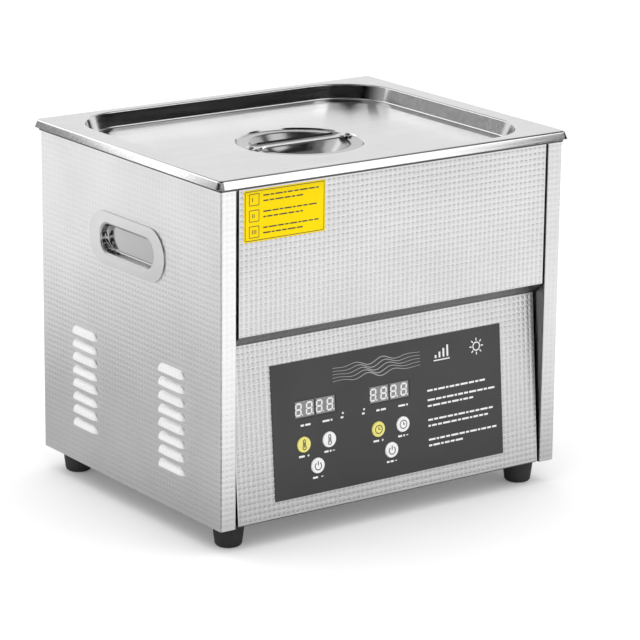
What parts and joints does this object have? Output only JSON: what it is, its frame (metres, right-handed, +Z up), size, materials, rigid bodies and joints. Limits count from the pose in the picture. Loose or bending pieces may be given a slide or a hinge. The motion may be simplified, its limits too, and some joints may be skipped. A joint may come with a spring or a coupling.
{
  "type": "ultrasonic cleaner",
  "caption": "Bench-top ultrasonic cleaner: steel tank with bolted transducers in a folded casing, lift-off lid with a cup handle, sloped key panel, recessed grips, fan, inlet and drain valve.",
  "frame": {"origin": "on the bench, midway between the four feet", "axes": "+X to the cleaner's right seen from the front, where the drain valve is; +Y towards the back; +Z up"},
  "size_m": [0.3775, 0.2662, 0.285],
  "materials": {
    "casing_steel": "embossed stainless steel",
    "plain_steel": "plain stainless steel",
    "lid_steel": "polished stainless steel",
    "tank_steel": "deep-drawn stainless steel",
    "foot_rubber": "moulded rubber",
    "zinc_screws": "bright zinc plate",
    "overlay_film": "dark printed film",
    "display_face": "grey display face with unlit segments",
    "key_yellow": "yellow key cap",
    "key_white": "white key cap",
    "circuit_board": "green solder mask",
    "black_plastic": "black moulding",
    "alloy": "machined aluminium",
    "piezo_ceramic": "dark fired ceramic",
    "bronze_sheet": "thin bronze sheet",
    "dark_steel": "blackened steel",
    "heater_silicone": "orange silicone mat",
    "nylon": "natural nylon",
    "transformer_ferrite": "ferrite core with a taped winding",
    "capacitor_sleeve": "dark blue sleeve",
    "plated_brass": "nickel-plated brass",
    "red_plastic": "red moulding"
  },
  "bodies": {
    "cabinet": {"tank": "tank_steel", "side_panel_left": "casing_steel", "side_panel_right": "casing_steel", "front_panel": "casing_steel", "back_panel": "casing_steel", "base_plate": "plain_steel", "handle_recess_left": "plain_steel", "handle_recess_right": "plain_steel", "foot_front_left": "foot_rubber", "foot_front_right": "foot_rubber", "foot_back_left": "foot_rubber", "foot_back_right": "foot_rubber", "foot_screws": "zinc_screws", "base_screws": "zinc_screws", "back_panel_screws": "zinc_screws", "panel_overlay": "overlay_film", "display_set_temp": "display_face", "display_actual_temp": "display_face", "display_minutes": "display_face", "display_seconds": "display_face", "control_board": "circuit_board", "board_studs": "zinc_screws", "key_switches": "black_plastic", "transducer_front_masses": "alloy", "piezo_rings": "piezo_ceramic", "electrode_plates": "bronze_sheet", "transducer_back_masses": "dark_steel", "transducer_bolts": "dark_steel", "heater_pads": "heater_silicone", "temperature_sensor": "alloy", "generator_board": "circuit_board", "board_pillars": "nylon", "heat_sink": "alloy", "power_transistors": "black_plastic", "output_transformer": "transformer_ferrite", "capacitors": "capacitor_sleeve", "fan_frame": "black_plastic", "fan_guard": "zinc_screws", "fan_screws": "zinc_screws", "mains_inlet": "black_plastic", "inlet_blades": "plated_brass", "switch_housing": "black_plastic", "drain_fitting": "plated_brass", "drain_elbow": "plated_brass", "drain_nuts": "plated_brass", "valve_body": "plated_brass"},
    "lid": {"lid_cover": "lid_steel", "lid_handle_cup": "lid_steel", "lid_handle_strap": "lid_steel", "lid_handle_rivets": "lid_steel"},
    "key_temp_up": {"key_temp_up": "key_yellow"},
    "key_temp_down": {"key_temp_down": "key_white"},
    "key_heat_power": {"key_heat_power": "key_white"},
    "key_time_up": {"key_time_up": "key_yellow"},
    "key_time_down": {"key_time_down": "key_white"},
    "key_clean_power": {"key_clean_power": "key_white"},
    "fan_rotor": {"fan_rotor": "black_plastic"},
    "switch_rocker": {"switch_rocker": "red_plastic"},
    "drain_valve": {"valve_ball": "plated_brass", "valve_lever": "red_plastic"}
  },
  "joints": [
    {"name": "lid_lift", "type": "slide", "parent": "cabinet", "child": "lid", "axis": [0, 0, 1], "range_m": [0, 0.1]},
    {"name": "key_temp_up_press", "type": "slide", "parent": "cabinet", "child": "key_temp_up", "axis": [0, 0.9965, -0.0836], "range_m": [0, 0.0006], "stiffness_N_per_m": 800, "springref_m": -0.0008},
    {"name": "key_temp_down_press", "type": "slide", "parent": "cabinet", "child": "key_temp_down", "axis": [0, 0.9965, -0.0836], "range_m": [0, 0.0006], "stiffness_N_per_m": 800, "springref_m": -0.0008},
    {"name": "key_heat_power_press", "type": "slide", "parent": "cabinet", "child": "key_heat_power", "axis": [0, 0.9965, -0.0836], "range_m": [0, 0.0006], "stiffness_N_per_m": 800, "springref_m": -0.0008},
    {"name": "key_time_up_press", "type": "slide", "parent": "cabinet", "child": "key_time_up", "axis": [0, 0.9965, -0.0836], "range_m": [0, 0.0006], "stiffness_N_per_m": 800, "springref_m": -0.0008},
    {"name": "key_time_down_press", "type": "slide", "parent": "cabinet", "child": "key_time_down", "axis": [0, 0.9965, -0.0836], "range_m": [0, 0.0006], "stiffness_N_per_m": 800, "springref_m": -0.0008},
    {"name": "key_clean_power_press", "type": "slide", "parent": "cabinet", "child": "key_clean_power", "axis": [0, 0.9965, -0.0836], "range_m": [0, 0.0006], "stiffness_N_per_m": 800, "springref_m": -0.0008},
    {"name": "fan_spin", "type": "hinge", "parent": "cabinet", "child": "fan_rotor", "pos_m": [-0.07, 0.115, 0.075], "axis": [0, 1, 0], "continuous": true},
    {"name": "switch_rock", "type": "hinge", "parent": "cabinet", "child": "switch_rocker", "pos_m": [0.1, 0.1285, 0.059], "axis": [1, 0, 0], "range_deg": [0, 20]},
    {"name": "drain_turn", "type": "hinge", "parent": "cabinet", "child": "drain_valve", "pos_m": [0.18, 0.0895, 0.1079], "axis": [0, 0, 1], "range_deg": [0, 90]}
  ]
}
